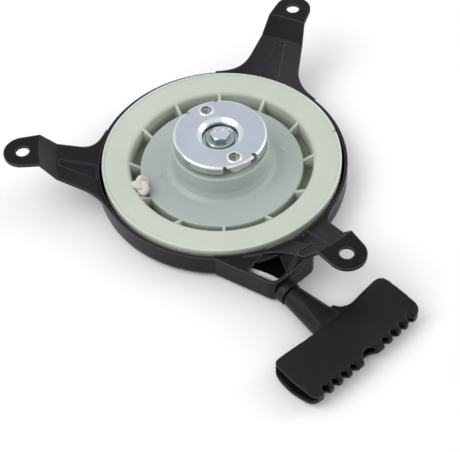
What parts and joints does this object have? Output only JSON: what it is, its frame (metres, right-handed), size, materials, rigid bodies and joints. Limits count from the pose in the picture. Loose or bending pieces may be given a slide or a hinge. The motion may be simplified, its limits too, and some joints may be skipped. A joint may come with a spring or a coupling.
{
  "type": "recoil starter",
  "caption": "Pull-cord recoil starter: pressed steel housing with bolt tabs, ribbed nylon pulley, pawls under a plated guide plate, braided rope and T-handle.",
  "frame": {"origin": "on the pulley axis, at the flat centre of the housing floor's outer face", "axes": "+Z along the pulley axis towards the engine; +X to the right of the housing when the rope outlet faces -Y"},
  "size_m": [0.1909, 0.2333, 0.0357],
  "materials": {
    "painted_steel": "satin black paint",
    "black_plastic": "satin",
    "black_grip": "fine matte grain",
    "post_steel": "turned",
    "washer_steel": "zinc plated",
    "zinc": "bright zinc",
    "zinc_plate": "bright zinc, pressed",
    "pin_steel": "ground",
    "spring_steel": "oiled",
    "nylon": "translucent natural nylon",
    "pawl_nylon": "natural nylon",
    "drag_plastic": "satin",
    "rope": "braided"
  },
  "bodies": {
    "frame": {"housing": "painted_steel", "rope_eyelet": "black_plastic", "centre_post": "post_steel", "flange_screw": "zinc", "lower_thrust_washer": "washer_steel", "recoil_spring": "spring_steel", "rope_run": "rope"},
    "pulley": {"pulley": "nylon", "guide_plate": "zinc_plate", "pawl_pin_1": "pin_steel", "pawl_pin_2": "pin_steel", "upper_thrust_washer": "washer_steel", "rope_coil": "rope", "rope_knot": "rope"},
    "drag": {"drag_ring": "drag_plastic", "drag_clip": "spring_steel"},
    "pawl_1": {"pawl_1": "pawl_nylon"},
    "pawl_2": {"pawl_2": "pawl_nylon"},
    "handle": {"handle_grip": "black_grip", "rope_lead": "rope", "handle_knot": "rope", "knot_plate": "washer_steel"}
  },
  "joints": [
    {"name": "pulley_spin", "type": "hinge", "parent": "frame", "child": "pulley", "pos_m": [0, 0, 0.01], "axis": [0, 0, 1], "range_deg": [0, 1080], "stiffness_Nm_per_rad": 0.02, "springref_deg": -859.44},
    {"name": "handle_pull", "type": "slide", "parent": "frame", "child": "handle", "axis": [0.6428, -0.766, 0], "range_m": [0, 0.99]},
    {"name": "drag_lag", "type": "hinge", "parent": "pulley", "child": "drag", "pos_m": [0, 0, 0.028], "axis": [0, 0, 1], "range_deg": [-20, 0]},
    {"name": "pawl_1_swing", "type": "hinge", "parent": "pulley", "child": "pawl_1", "pos_m": [0.00618, -0.01627, 0.029], "axis": [0, 0, 1], "range_deg": [-40, 0]},
    {"name": "pawl_2_swing", "type": "hinge", "parent": "pulley", "child": "pawl_2", "pos_m": [-0.00618, 0.01627, 0.029], "axis": [0, 0, 1], "range_deg": [-40, 0]}
  ],
  "couplings": [
    {"joint": "handle_pull", "follows": "pulley_spin", "m_per_rad": 0.0525},
    {"joint": "pawl_1_swing", "follows": "drag_lag", "ratio": 2},
    {"joint": "pawl_2_swing", "follows": "drag_lag", "ratio": 2}
  ]
}
